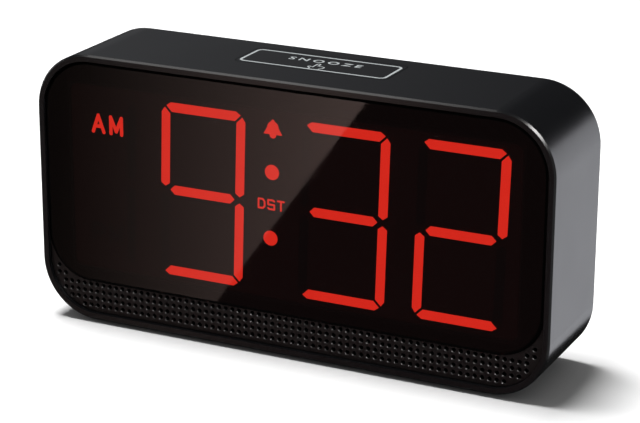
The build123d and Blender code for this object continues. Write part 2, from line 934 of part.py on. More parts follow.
def cone_shape(thinning, start_y, depth):
    """Loft from the surround's rim down to the round neck of the voice coil."""
    with BuildPart() as shape:
        with BuildSketch(across(start_y)):
            with Locations((0, speaker_z)):
                Ellipse(cone_half_width - thinning, cone_half_height - thinning)
        with BuildSketch(across(start_y + depth)):
            with Locations((0, speaker_z)):
                Circle(cone_neck - thinning)
        loft()
    return shape.part


with BuildPart() as speaker_cone:
    with BuildSketch(across(speaker_front_y)):
        add(speaker_ring(cone_inset))
        with Locations((0, speaker_z)):
            Ellipse(cone_half_width - cone_thickness, cone_half_height - cone_thickness, mode=Mode.SUBTRACT)
    extrude(amount=-surround_thickness)
    add(cone_shape(0, speaker_front_y + surround_thickness, cone_depth))
    add(cone_shape(cone_thickness, speaker_front_y + surround_thickness, cone_depth), mode=Mode.SUBTRACT)

speaker_cone.part.label = "speaker_cone"
export_step(speaker_cone.part, "parts/speaker_cone.step")

coil_front_y = speaker_front_y + surround_thickness + cone_depth

with BuildPart() as voice_coil:
    with BuildSketch(across(coil_front_y)):
        with Locations((0, speaker_z)):
            Circle(coil_diameter / 2)
            Circle(coil_diameter / 2 - coil_wall, mode=Mode.SUBTRACT)
    extrude(amount=-coil_length)

voice_coil.part.label = "voice_coil"
export_step(voice_coil.part, "parts/voice_coil.step")

with BuildPart() as speaker_magnet:
    with BuildSketch(across(speaker_back_y)):
        with Locations((0, speaker_z)):
            Circle(magnet_diameter / 2)
    extrude(amount=magnet_depth)
    with BuildSketch(across(speaker_back_y - magnet_depth)):
        with Locations((0, speaker_z)):
            Circle(magnet_diameter / 2 - magnet_wall)
            Circle(coil_diameter / 2 - coil_wall - coil_gap, mode=Mode.SUBTRACT)
    extrude(amount=-(magnet_depth - magnet_wall), mode=Mode.SUBTRACT)

speaker_magnet.part.label = "speaker_magnet"
export_step(speaker_magnet.part, "parts/speaker_magnet.step")

# ---------------------------------------------------------------- rear cover and battery door

with BuildPart() as rear_cover:
    with BuildSketch(across(cover_front_y)):
        with Locations((0, middle_z)):
            RectangleRounded(insert_width, insert_height, insert_corner)
    extrude(amount=-cover_thickness)
    # Battery well, and posts for the main board.
    with BuildSketch(across(well_front_y)):
        with Locations((0, well_z)):
            Rectangle(well_length + 2 * well_wall, well_height + 2 * well_wall)
    extrude(amount=-(cover_front_y - well_front_y))
    with BuildSketch(across(main_board_back_y)):
        with Locations(*main_post_spots):
            Circle(board_post_diameter / 2)
    extrude(amount=-main_board_gap)
    with BuildSketch(across(main_board_back_y)):
        with Locations(*main_post_spots):
            Circle(board_screw_diameter / 2 + thread_fit)
    extrude(amount=-board_pilot_depth, mode=Mode.SUBTRACT)
    with BuildSketch(across(well_floor_y)):
        with Locations((0, well_z)):
            Rectangle(well_length, well_height)
    extrude(amount=-(rear_y - well_floor_y), mode=Mode.SUBTRACT)
    # Recess for the door, open right through along its hinge.
    with BuildSketch(across(door_seat_y)):
        with Locations((0, (recess_top_z + recess_bottom_z) / 2)):
            Rectangle(recess_width, recess_top_z - recess_bottom_z)
    extrude(amount=-(rear_y - door_seat_y), mode=Mode.SUBTRACT)
    hinge_slot_top_z = hinge_z + hinge_barrel / 2 + hinge_clearance
    with BuildSketch(across(cover_front_y)):
        with Locations((0, (recess_bottom_z + hinge_slot_top_z) / 2)):
            Rectangle(recess_width, hinge_slot_top_z - recess_bottom_z)
    extrude(amount=-cover_thickness, mode=Mode.SUBTRACT)
    with BuildSketch(Plane.YZ.offset(-recess_width / 2 - hinge_pin_length)):
        with Locations((hinge_y, hinge_z)):
            Circle(hinge_pin / 2 + hinge_fit)
    extrude(amount=recess_width + 2 * hinge_pin_length, mode=Mode.SUBTRACT)
    with BuildSketch(across(rear_y)):
        with Locations((0, recess_top_z)):
            Circle(nail_notch / 2)
    extrude(amount=nail_notch_depth, mode=Mode.SUBTRACT)
    # Openings for the keys, the dial, the slider and the two sockets.
    with BuildSketch(across(rear_y)):
        with Locations(*[(x, key_z) for x in key_xs]):
            SlotOverall(key_length + 2 * key_gap, key_height + 2 * key_gap)
        with Locations((dial_x, key_z)):
            Circle(dial_diameter / 2 + dial_gap)
        with Locations((slider_x, key_z)):
            Rectangle(slider_length + slider_travel + 2 * slider_gap, slider_height + 2 * slider_gap)
        with Locations((dc_x, jack_z)):
            Circle(dc_collar / 2 + port_fit)
        with Locations((usb_x, jack_z)):
            Rectangle(usb_width + 2 * port_fit, usb_height + 2 * port_fit)
        for side in (-1, 1):
            with Locations((side * vent_x, middle_z + vent_lift)):
                with GridLocations(vent_pitch, 0, vent_count, 1):
                    SlotOverall(vent_height, vent_width, rotation=90)
    extrude(amount=cover_thickness, mode=Mode.SUBTRACT)
    with Locations(*[facing_back(x, rear_y, z) for x, z in column_spots]):
        CounterBoreHole(
            case_screw_diameter / 2 + screw_clearance,
            case_screw_head / 2 + head_clearance,
            case_screw_head_height + case_screw_sink,
            depth=cover_thickness,
        )

rear_cover.part.label = "rear_cover"
export_step(rear_cover.part, "parts/rear_cover.step")

with BuildPart() as battery_door:
    with BuildSketch(across(door_inner_y)):
        with Locations((0, (door_top_z + hinge_z) / 2)):
            Rectangle(door_width, door_top_z - hinge_z)
    extrude(amount=-door_thickness)
    with BuildSketch(Plane.YZ.offset(-door_width / 2)):
        with Locations((hinge_y, hinge_z)):
            Circle(hinge_barrel / 2)
    extrude(amount=door_width)
    pin_end_x = recess_width / 2 + hinge_pin_length - door_gap
    with BuildSketch(Plane.YZ.offset(-pin_end_x)):
        with Locations((hinge_y, hinge_z)):
            Circle(hinge_pin / 2)
    extrude(amount=2 * pin_end_x)
    # Grip grooves under the nail notch.
    with BuildSketch(across(rear_y)):
        with Locations((0, door_top_z - nail_notch / 2 - door_groove_pitch * door_grooves / 2)):
            with GridLocations(0, door_groove_pitch, 1, door_grooves):
                SlotOverall(door_groove_width, door_groove_height)
    extrude(amount=door_groove_depth, mode=Mode.SUBTRACT)

battery_door.part.label = "battery_door"
export_step(battery_door.part, "parts/battery_door.step")

# Each cell has a spring at one end and a nub at the other, and the two cells lie opposite ways.
contact_y = well_floor_y + well_depth / 2
cell_ends = [(cell_z[0], -1), (cell_z[1], 1)]

with BuildPart() as battery_contacts:
    for z, spring_side in cell_ends:
        for side in (-1, 1):
            face_x = side * (well_length / 2 - contact_thickness)
            with Locations((side * (well_length - contact_thickness) / 2, contact_y, z)):
                Box(contact_thickness, contact_size, contact_size)
            if side != spring_side:
                with BuildSketch(Plane.YZ.offset(face_x)):
                    with Locations((contact_y, z)):
                        Circle(contact_nub_diameter / 2)
                extrude(amount=-side * contact_nub)

battery_contacts.part.label = "battery_contacts"
export_step(battery_contacts.part, "parts/battery_contacts.step")


def coil_spring(x, y, z, side):
    """Open coil along X, pushing inwards from a contact plate on the given side."""
    start = Vector(x, y, z)
    inwards = Vector(-side, 0, 0)
    turns_length = spring_length - spring_wire
    with BuildPart() as coil:
        with BuildLine():
            helix = Helix(
                turns_length / spring_turns,
                turns_length,
                (spring_diameter - spring_wire) / 2,
                center=start + inwards * (spring_wire / 2),
                direction=inwards,
            )
        with BuildSketch(Plane(origin=helix @ 0, z_dir=helix % 0)):
            Circle(spring_wire / 2)
        sweep(is_frenet=True)
    return coil.part


with BuildPart() as battery_springs:
    for z, side in cell_ends:
        add(coil_spring(side * (well_length / 2 - contact_thickness), contact_y, z, side))

battery_springs.part.label = "battery_springs"
export_step(battery_springs.part, "parts/battery_springs.step")

# ---------------------------------------------------------------- main board and what stands on it

with BuildPart() as main_board:
    with BuildSketch(across(main_board_front_y)):
        with Locations((0, main_board_z)):
            Rectangle(main_board_width, main_board_height)
        with Locations(*main_post_spots):
            Circle(board_screw_diameter / 2 + screw_clearance, mode=Mode.SUBTRACT)
    extrude(amount=-board_thickness)

main_board.part.label = "main_board"
export_step(main_board.part, "parts/main_board.step")

with BuildPart() as clock_chip:
    with BuildSketch(across(main_board_front_y)):
        with Locations((chip_x, main_board_z)):
            Rectangle(chip_length, chip_width)
    extrude(amount=chip_height)
    with BuildSketch(across(main_board_front_y)):
        with Locations((chip_x, main_board_z)):
            with GridLocations(pin_pitch, chip_width + pin_length - 2 * pin_hidden, chip_pins, 2):
                Rectangle(pin_width, pin_length)
    extrude(amount=pin_thickness)

clock_chip.part.label = "clock_chip"
export_step(clock_chip.part, "parts/clock_chip.step")

with BuildPart() as tuner_can:
    with BuildSketch(across(main_board_front_y)):
        with Locations((can_x, main_board_z)):
            Rectangle(can_length, can_width)
    extrude(amount=can_height)
    with BuildSketch(across(main_board_front_y)):
        with Locations((can_x, main_board_z)):
            Rectangle(can_length - 2 * can_wall, can_width - 2 * can_wall)
    extrude(amount=can_height - can_wall, mode=Mode.SUBTRACT)

tuner_can.part.label = "tuner_can"
export_step(tuner_can.part, "parts/tuner_can.step")

with BuildPart() as tuner_chip:
    with BuildSketch(across(main_board_front_y)):
        with Locations((can_x, main_board_z)):
            Rectangle(tuner_chip_size, tuner_chip_size)
    extrude(amount=tuner_chip_height)

tuner_chip.part.label = "tuner_chip"
export_step(tuner_chip.part, "parts/tuner_chip.step")

with BuildPart() as amplifier_chip:
    with BuildSketch(across(main_board_front_y)):
        with Locations((amplifier_x, main_board_z - amplifier_drop)):
            Rectangle(amplifier_length, amplifier_width)
    extrude(amount=amplifier_height)
    with BuildSketch(across(main_board_front_y)):
        with Locations((amplifier_x, main_board_z - amplifier_drop)):
            with GridLocations(pin_pitch, amplifier_width + pin_length - 2 * pin_hidden, amplifier_pins, 2):
                Rectangle(pin_width, pin_length)
    extrude(amount=pin_thickness)

amplifier_chip.part.label = "amplifier_chip"
export_step(amplifier_chip.part, "parts/amplifier_chip.step")

with BuildPart() as capacitors:
    with BuildSketch(across(main_board_front_y)):
        with Locations((capacitor_x, main_board_z)):
            with GridLocations(capacitor_pitch, capacitor_pitch, 2, 2):
                Circle(capacitor_diameter / 2)
    extrude(amount=capacitor_height)
    fillet(capacitors.faces().group_by(Axis.Y)[0].edges(), capacitor_fillet)

capacitors.part.label = "capacitors"
export_step(capacitors.part, "parts/capacitors.step")

with BuildPart() as dimmer_pot:
    with BuildSketch(across(main_board_back_y)):
        with Locations((dial_x, key_z)):
            Rectangle(pot_size, pot_size)
    extrude(amount=-pot_height)
    with BuildSketch(across(main_board_back_y + pot_height)):
        with Locations((dial_x, key_z)):
            Circle(dial_stem / 2 + stem_fit)
    extrude(amount=pot_height - pot_floor, mode=Mode.SUBTRACT)

dimmer_pot.part.label = "dimmer_pot"
export_step(dimmer_pot.part, "parts/dimmer_pot.step")

dial_stem_y = main_board_back_y + pot_floor + stem_end_gap

with BuildPart() as dimmer_dial:
    with BuildSketch(across(cover_front_y)):
        with Locations((dial_x, key_z)):
            Circle(dial_diameter / 2)
            with PolarLocations(dial_diameter / 2, dial_notches):
                Circle(dial_notch / 2, mode=Mode.SUBTRACT)
    extrude(amount=-(control_y - cover_front_y))
    with BuildSketch(across(dial_stem_y)):
        with Locations((dial_x, key_z)):
            Circle(dial_stem / 2)
    extrude(amount=-(cover_front_y - dial_stem_y))
    with BuildSketch(across(control_y)):
        with Locations((dial_x, key_z + dial_diameter / 2 - dial_mark_inset - dial_mark_length / 2)):
            SlotOverall(dial_mark_length, dial_mark_width, rotation=90)
    extrude(amount=dial_mark_depth, mode=Mode.SUBTRACT)

dimmer_dial.part.label = "dimmer_dial"
export_step(dimmer_dial.part, "parts/dimmer_dial.step")

slider_can_top_y = main_board_back_y + slider_can_height
slider_rest_x = slider_x - slider_travel / 2

with BuildPart() as alarm_switch:
    with BuildSketch(across(main_board_back_y)):
        with Locations((slider_x, key_z)):
            Rectangle(slider_can_length, slider_can_width)
    extrude(amount=-slider_can_height)
    with BuildSketch(across(slider_can_top_y)):
        with Locations((slider_x, key_z)):
            Rectangle(slider_length + slider_travel + 2 * slider_gap, slider_height + 2 * slider_gap)
    extrude(amount=slider_foot_depth + slider_foot_room, mode=Mode.SUBTRACT)

alarm_switch.part.label = "alarm_switch"
export_step(alarm_switch.part, "parts/alarm_switch.step")

with BuildPart() as alarm_slider:
    with BuildSketch(across(slider_can_top_y - slider_foot_depth)):
        with Locations((slider_rest_x, key_z)):
            Rectangle(slider_length, slider_height)
    extrude(amount=-(control_y - slider_can_top_y + slider_foot_depth))
    with BuildSketch(across(flange_front_y)):
        with Locations((slider_rest_x, key_z)):
            Rectangle(slider_shield_length, slider_shield_height)
    extrude(amount=-key_flange_thickness)
    with BuildSketch(across(control_y)):
        with Locations((slider_rest_x, key_z)):
            with GridLocations(slider_groove_pitch, 0, 2, 1):
                Rectangle(slider_groove_width, slider_height)
    extrude(amount=slider_groove_depth, mode=Mode.SUBTRACT)

alarm_slider.part.label = "alarm_slider"
export_step(alarm_slider.part, "parts/alarm_slider.step")

with BuildPart() as dc_jack:
    with BuildSketch(across(main_board_back_y)):
        with Locations((dc_x, jack_z)):
            Rectangle(dc_body, dc_body)
    extrude(amount=-(flange_back_y - main_board_back_y))
    with BuildSketch(across(flange_back_y)):
        with Locations((dc_x, jack_z)):
            Circle(dc_collar / 2)
    extrude(amount=-(port_end_y - flange_back_y))
    with BuildSketch(across(port_end_y)):
        with Locations((dc_x, jack_z)):
            Circle(dc_bore / 2)
    extrude(amount=dc_depth, mode=Mode.SUBTRACT)
    with BuildSketch(across(port_end_y - dc_depth)):
        with Locations((dc_x, jack_z)):
            Circle(dc_pin / 2)
    extrude(amount=-(dc_depth - dc_pin_sink))

dc_jack.part.label = "dc_jack"
export_step(dc_jack.part, "parts/dc_jack.step")

with BuildPart() as usb_port:
    with BuildSketch(across(main_board_back_y)):
        with Locations((usb_x, jack_z)):
            Rectangle(usb_width, usb_height)
    extrude(amount=-(port_end_y - main_board_back_y))
    with BuildSketch(across(port_end_y)):
        with Locations((usb_x, jack_z)):
            Rectangle(usb_width - 2 * usb_shell, usb_height - 2 * usb_shell)
    extrude(amount=port_end_y - main_board_back_y - usb_base, mode=Mode.SUBTRACT)
    tongue_z = jack_z + usb_height / 2 - usb_shell - usb_tongue_drop - usb_tongue_height / 2
    with BuildSketch(across(main_board_back_y + usb_base)):
        with Locations((usb_x, tongue_z)):
            Rectangle(usb_tongue_width, usb_tongue_height)
    extrude(amount=-(port_end_y - main_board_back_y - usb_base - usb_tongue_sink))

usb_port.part.label = "usb_port"
export_step(usb_port.part, "parts/usb_port.step")

# ---------------------------------------------------------------- keys and their switches

snooze_seat = facing_up(snooze_x, snooze_y, snooze_board_top_z)
switch_seats = [facing_back(x, main_board_back_y, key_z) for x in key_xs]
plunger_names = [f"{name}_plunger" for name in key_names]

with BuildPart() as tact_switches:
    with BuildSketch(*switch_seats, snooze_seat):
        Rectangle(switch_size, switch_size)
    extrude(amount=switch_height)
    with BuildSketch(*[seat.offset(switch_height) for seat in [*switch_seats, snooze_seat]]):
        Circle(plunger_diameter / 2 + plunger_fit)
    extrude(amount=-(plunger_hidden + plunger_travel_room), mode=Mode.SUBTRACT)

tact_switches.part.label = "tact_switches"
export_step(tact_switches.part, "parts/tact_switches.step")

for name, seat in zip([*plunger_names, "snooze_plunger"], [*switch_seats, snooze_seat]):
    with BuildPart() as plunger:
        with BuildSketch(seat.offset(switch_height - plunger_hidden)):
            Circle(plunger_diameter / 2)
        extrude(amount=plunger_hidden + plunger_proud)
    plunger.part.label = name
    export_step(plunger.part, f"parts/{name}.step")

for name, key_x in zip(key_names, key_xs):
    with BuildPart() as key:
        with BuildSketch(across(flange_front_y)):
            with Locations((key_x, key_z)):
                SlotOverall(key_length, key_height)
        extrude(amount=-(control_y - flange_front_y))
        fillet(key.faces().sort_by(Axis.Y)[-1].edges(), key_edge_fillet)
        with BuildSketch(across(flange_front_y)):
            with Locations((key_x, key_z)):
                SlotOverall(key_length + 2 * key_flange, key_height + 2 * key_flange)
        extrude(amount=-key_flange_thickness)
        with BuildSketch(across(plunger_tip_y)):
            with Locations((key_x, key_z)):
                Circle(key_stem / 2)
        extrude(amount=-(flange_front_y - plunger_tip_y))
    key.part.label = name
    export_step(key.part, f"parts/{name}.step")

with BuildPart() as snooze_key:
    with BuildSketch(Plane.XY.offset(snooze_flange_low_z)):
        with Locations((snooze_x, snooze_y)):
            RectangleRounded(snooze_length, snooze_width, snooze_corner)
    extrude(amount=top_z - snooze_flange_low_z)
    with BuildSketch(Plane.XY.offset(snooze_flange_low_z)):
        with Locations((snooze_x, snooze_y)):
            Rectangle(snooze_length + 2 * key_flange, snooze_width + 2 * key_flange)
    extrude(amount=key_flange_thickness)
    with BuildSketch(Plane.XY.offset(snooze_plunger_top_z)):
        with Locations((snooze_x, snooze_y)):
            Circle(snooze_stem / 2)
    extrude(amount=snooze_flange_low_z - snooze_plunger_top_z)

snooze_key.part.label = "snooze_key"
export_step(snooze_key.part, "parts/snooze_key.step")

with BuildPart() as snooze_board:
    with BuildSketch(Plane.XY.offset(snooze_board_low_z)):
        with Locations((snooze_x, snooze_y)):
            Rectangle(snooze_board_length, snooze_board_width)
        with Locations(*snooze_post_spots):
            Circle(board_screw_diameter / 2 + screw_clearance, mode=Mode.SUBTRACT)
    extrude(amount=board_thickness)

snooze_board.part.label = "snooze_board"
export_step(snooze_board.part, "parts/snooze_board.step")

# ---------------------------------------------------------------- screws


def pan_screws(seats, diameter, length, head, head_height):
    """Screws with their heads' undersides on the seats, which face the way the heads point."""
    with BuildPart() as screws:
        with BuildSketch(*seats):
            Circle(head / 2)
        extrude(amount=head_height)
        with BuildSketch(*seats):
            Circle(diameter / 2)
        extrude(amount=-length)
        with BuildSketch(*[seat.offset(head_height) for seat in seats]):
            Rectangle(cross_length, cross_width)
            Rectangle(cross_width, cross_length)
        extrude(amount=-cross_depth, mode=Mode.SUBTRACT)
    return screws


case_screws = pan_screws(
    [facing_back(x, case_screw_seat_y, z) for x, z in column_spots],
    case_screw_diameter,
    case_screw_length,
    case_screw_head,
    case_screw_head_height,
)
case_screws.part.label = "case_screws"
export_step(case_screws.part, "parts/case_screws.step")

board_seats = [facing_front(x, main_board_front_y, z) for x, z in main_post_spots]
board_seats += [facing_back(x, display_board_back_y, z) for x, z in display_post_spots]
board_seats += [facing_down(x, y, snooze_board_low_z) for x, y in snooze_post_spots]
board_screws = pan_screws(
    board_seats, board_screw_diameter, board_screw_length, board_screw_head, board_screw_head_height
)
board_screws.part.label = "board_screws"
export_step(board_screws.part, "parts/board_screws.step")

# ---------------------------------------------------------------- wiring inside the case

# The ribbon leaves a plug on the display board, turns once below, and rises to the main board.
ribbon_front_y = display_board_back_y + ribbon_plug_depth / 2
ribbon_rear_y = main_board_front_y - ribbon_plug_depth / 2
ribbon_radius = (ribbon_rear_y - ribbon_front_y) / 2
ribbon_plug_z = [
    ribbon_low_z + ribbon_radius + ribbon_front_rise,
    main_board_low_z + ribbon_rear_rise,
]

with BuildPart() as display_ribbon:
    with BuildSketch(Plane.YZ.offset(ribbon_x - ribbon_width / 2)):
        with BuildLine():
            front_run = Line((ribbon_front_y, ribbon_plug_z[0]), (ribbon_front_y, ribbon_low_z))
            turn = ThreePointArc(
                front_run @ 1,
                (ribbon_front_y + ribbon_radius, ribbon_low_z - ribbon_radius),
                (ribbon_rear_y, ribbon_low_z),
            )
            Line(turn @ 1, (ribbon_rear_y, ribbon_plug_z[1]))
        trace(line_width=ribbon_thickness)
    extrude(amount=ribbon_width)

display_ribbon.part.label = "display_ribbon"
export_step(display_ribbon.part, "parts/display_ribbon.step")

with BuildPart() as ribbon_plugs:
    plug_fronts_y = [display_board_back_y, main_board_front_y - ribbon_plug_depth]
    for board_y, plug_z in zip(plug_fronts_y, ribbon_plug_z):
        with BuildSketch(across(board_y)):
            with Locations((ribbon_x, plug_z + ribbon_plug_height / 2)):
                Rectangle(ribbon_width + 2 * ribbon_plug_margin, ribbon_plug_height)
        extrude(amount=-ribbon_plug_depth)

ribbon_plugs.part.label = "ribbon_plugs"
export_step(ribbon_plugs.part, "parts/ribbon_plugs.step")


def bend_radii(points):
    """Radius of each corner's arc: the largest that its two runs leave room for."""
    radii = []
    for before, corner, after in zip(points, points[1:], points[2:]):
        run_in = Vector(*corner) - Vector(*before)
        run_out = Vector(*after) - Vector(*corner)
        turn = radians(run_in.get_angle(run_out))
        radii.append(bend_share * min(run_in.length, run_out.length) / tan(turn / 2))
    return radii


def wire(points, diameter):
    """Round wire along straight runs joined by arcs."""
    radii = bend_radii(points)
    with BuildPart() as strand:
        with BuildLine():
            route = FilletPolyline(*points, radius=radii)
        with BuildSketch(Plane(origin=route @ 0, z_dir=route % 0)):
            Circle(diameter / 2)
        sweep()
    print("wire length", round(route.length, 1), "radii", [round(radius, 1) for radius in radii])
    return strand.part


wire_end_z = main_board_low_z + wire_end_lift

speaker_wire_points = [
    [
        (20.0 + lane, speaker_back_y, speaker_z),
        (20.0 + lane, speaker_back_y + 6.0, speaker_z),
        (24.0 + lane, speaker_back_y + 6.5, speaker_z + 9.0),
        (33.0 + lane, speaker_back_y + 5.5, speaker_z + 19.0),
        (36.0 + lane, main_board_front_y - 6.5, wire_end_z),
        (36.0 + lane, main_board_front_y, wire_end_z),
    ]
    for lane in (0, wire_pitch)
]

with BuildPart() as speaker_wires:
    for points in speaker_wire_points:
        add(wire(points, wire_diameter))

speaker_wires.part.label = "speaker_wires"
export_step(speaker_wires.part, "parts/speaker_wires.step")

# The aerial starts on the main board and lies round the inside of the case.
aerial_y = main_board_front_y - aerial_setback
aerial_points = [
    (62.0, main_board_front_y, main_board_z - 6.0),
    (62.0, aerial_y, main_board_z - 6.0),
    (66.0, aerial_y - 1.0, main_board_z - 16.0),
    (66.0, aerial_y, floor_z + 14.0),
    (56.0, aerial_y, floor_z + 5.0),
    (40.0, aerial_y - 0.5, floor_z + 3.2),
    (8.0, aerial_y, floor_z + 3.6),
    (-24.0, aerial_y - 0.5, floor_z + 3.2),
    (-54.0, aerial_y, floor_z + 4.4),
    (-65.0, aerial_y, floor_z + 14.0),
    (-66.0, aerial_y - 0.5, floor_z + 32.0),
    (-64.0, aerial_y, floor_z + 50.0),
]

with BuildPart() as aerial_wire:
    add(wire(aerial_points, aerial_diameter))

aerial_wire.part.label = "aerial_wire"
export_step(aerial_wire.part, "parts/aerial_wire.step")
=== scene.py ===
import math

import bpy
import numpy as np
from mathutils import Matrix, Vector


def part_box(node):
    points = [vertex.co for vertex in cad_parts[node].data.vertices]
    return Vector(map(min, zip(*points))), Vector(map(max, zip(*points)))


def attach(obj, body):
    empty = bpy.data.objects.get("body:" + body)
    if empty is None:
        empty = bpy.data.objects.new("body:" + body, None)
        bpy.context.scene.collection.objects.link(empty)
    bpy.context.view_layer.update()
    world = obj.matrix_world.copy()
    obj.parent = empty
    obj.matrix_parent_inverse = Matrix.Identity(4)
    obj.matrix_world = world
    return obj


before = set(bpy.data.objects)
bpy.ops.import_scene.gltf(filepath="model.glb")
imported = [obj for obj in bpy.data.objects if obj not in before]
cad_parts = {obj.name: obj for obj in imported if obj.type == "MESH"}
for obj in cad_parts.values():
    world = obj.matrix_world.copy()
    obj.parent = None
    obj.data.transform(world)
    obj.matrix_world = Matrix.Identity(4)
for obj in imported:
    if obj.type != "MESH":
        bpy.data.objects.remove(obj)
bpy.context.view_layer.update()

MM = 0.001


# ---------------------------------------------------------------- camera

camera_azimuth = math.radians(25.679)
camera_elevation = math.radians(18.789)
camera_roll = math.radians(0.28)
camera_distance = 0.6113
camera_focal = 127.16
camera_sensor = 36.0

sleeve_low, sleeve_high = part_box("outer_sleeve")
lens_low, lens_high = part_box("display_lens")
aim = Vector((0.01109, sleeve_low.y, 0.04503))


def add_camera():
    """The camera looks back along (sin a cos e, -cos a cos e, sin e) at the aim point, turned by a slight roll."""
    back = Vector((
        math.sin(camera_azimuth) * math.cos(camera_elevation),
        -math.cos(camera_azimuth) * math.cos(camera_elevation),
        math.sin(camera_elevation),
    ))
    right = Vector((math.cos(camera_azimuth), math.sin(camera_azimuth), 0.0))
    up = back.cross(right)
    rolled_right = math.cos(camera_roll) * right + math.sin(camera_roll) * up
    rolled_up = math.cos(camera_roll) * up - math.sin(camera_roll) * right
    data = bpy.data.cameras.new("product_camera")
    data.sensor_width = camera_sensor
    data.lens = camera_focal
    camera = bpy.data.objects.new("product_camera", data)
    bpy.context.scene.collection.objects.link(camera)
    turn = Matrix((rolled_right, rolled_up, back)).transposed()
    place = aim + back * camera_distance
    camera.matrix_world = Matrix.Translation(place) @ turn.to_4x4()
    bpy.context.scene.camera = camera
    return place


eye = add_camera()


# ---------------------------------------------------------------- material helpers

def new_material(name):
    """A node material with its Principled shader, and the tree that both are in."""
    material = bpy.data.materials.new(name)
    material.use_nodes = True
    tree = material.node_tree
    return material, tree, tree.nodes["Principled BSDF"]


def object_noise(tree, size, detail=3.0, roughness=0.55, stretch=(1.0, 1.0, 1.0)):
    """Noise over the object's own coordinates, with features of about that size in metres."""
    place = tree.nodes.new("ShaderNodeTexCoord")
    mapping = tree.nodes.new("ShaderNodeMapping")
    mapping.inputs["Scale"].default_value = [1.0 / (size * s) for s in stretch]
    tree.links.new(place.outputs["Object"], mapping.inputs["Vector"])
    noise = tree.nodes.new("ShaderNodeTexNoise")
    noise.inputs["Scale"].default_value = 1.0
    noise.inputs["Detail"].default_value = detail
    noise.inputs["Roughness"].default_value = roughness
    tree.links.new(mapping.outputs["Vector"], noise.inputs["Vector"])
    return noise.outputs["Fac"]


def spread(tree, value, low, high, start=0.3, end=0.7):
    """The value, from start to end, carried to low to high."""
    node = tree.nodes.new("ShaderNodeMapRange")
    node.inputs["From Min"].default_value = start
    node.inputs["From Max"].default_value = end
    node.inputs["To Min"].default_value = low
    node.inputs["To Max"].default_value = high
    tree.links.new(value, node.inputs["Value"])
    return node.outputs["Result"]


def tint(tree, value, dark, light):
    """A colour between dark and light, by the value."""
    node = tree.nodes.new("ShaderNodeMix")
    node.data_type = "RGBA"
    node.inputs["A"].default_value = (*dark, 1.0)
    node.inputs["B"].default_value = (*light, 1.0)
    tree.links.new(value, node.inputs["Factor"])
    return node.outputs["Result"]


def grain(tree, shader, heights, distance, strength=1.0):
    """Bump of that height in metres on the shader's normal."""
    bump = tree.nodes.new("ShaderNodeBump")
    bump.inputs["Strength"].default_value = strength
    bump.inputs["Distance"].default_value = distance
    tree.links.new(heights, bump.inputs["Height"])
    tree.links.new(bump.outputs["Normal"], shader.inputs["Normal"])


def surface_finish(name, colour, rough, metallic=0.0, ior=1.5, mottle=0.12, mottle_size=0.006,
                   rough_change=0.05, grain_size=0.0003, grain_height=0.000004, stretch=(1.0, 1.0, 1.0)):
    """A moulded, painted or metal surface: mottled colour, uneven roughness and a fine grain."""
    material, tree, shader = new_material(name)
    patches = object_noise(tree, mottle_size, stretch=stretch)
    dark = [c * (1.0 - mottle) for c in colour]
    light = [c * (1.0 + mottle) for c in colour]
    tree.links.new(tint(tree, patches, dark, light), shader.inputs["Base Color"])
    tree.links.new(spread(tree, patches, rough - rough_change, rough + rough_change),
                   shader.inputs["Roughness"])
    grain(tree, shader, object_noise(tree, grain_size, detail=2.0, stretch=stretch), grain_height)
    shader.inputs["Metallic"].default_value = metallic
    shader.inputs["IOR"].default_value = ior
    return material


# ---------------------------------------------------------------- materials

def smoked_acrylic():
    """Dark neutral acrylic: clear, slightly warm, and glossy with faint wipe marks."""
    material, tree, shader = new_material("smoked_acrylic")
    shader.inputs["Base Color"].default_value = (0.34, 0.28, 0.28, 1.0)
    shader.inputs["Transmission Weight"].default_value = 1.0
    shader.inputs["IOR"].default_value = 1.49
    smears = object_noise(tree, 0.018, detail=4.0, stretch=(2.0, 1.0, 0.6))
    tree.links.new(spread(tree, smears, 0.012, 0.035), shader.inputs["Roughness"])
    return material


def lit_diffuser():
    """Red diffuser plastic lit from behind, a little uneven from one lamp to the next."""
    material, tree, shader = new_material("lit_diffuser")
    shader.inputs["Base Color"].default_value = (0.25, 0.02, 0.015, 1.0)
    shader.inputs["Roughness"].default_value = 0.45
    shader.inputs["Emission Strength"].default_value = 2.05
    glow = object_noise(tree, 0.005, detail=1.0)
    tree.links.new(tint(tree, glow, (0.92, 0.031, 0.016), (1.0, 0.038, 0.020)),
                   shader.inputs["Emission Color"])
    return material


def painted_glow_reflector():
    """Black reflector plastic with painted glow: a faint red emission that stands in for the light leaking between
    the lamps.
    """
    material = surface_finish("reflector_black", (0.004, 0.0035, 0.0035), 0.7)
    tree = material.node_tree
    shader = tree.nodes["Principled BSDF"]
    # Painted glow: a weak, uneven red emission on the reflector plastic in place of the lamps' spilled light.
    shader.inputs["Emission Strength"].default_value = 0.005
    painted_leak_glow = object_noise(tree, 0.014, detail=2.0)
    tree.links.new(tint(tree, painted_leak_glow, (0.75, 0.05, 0.04), (1.0, 0.08, 0.06)), shader.inputs["Emission Color"])
    return material


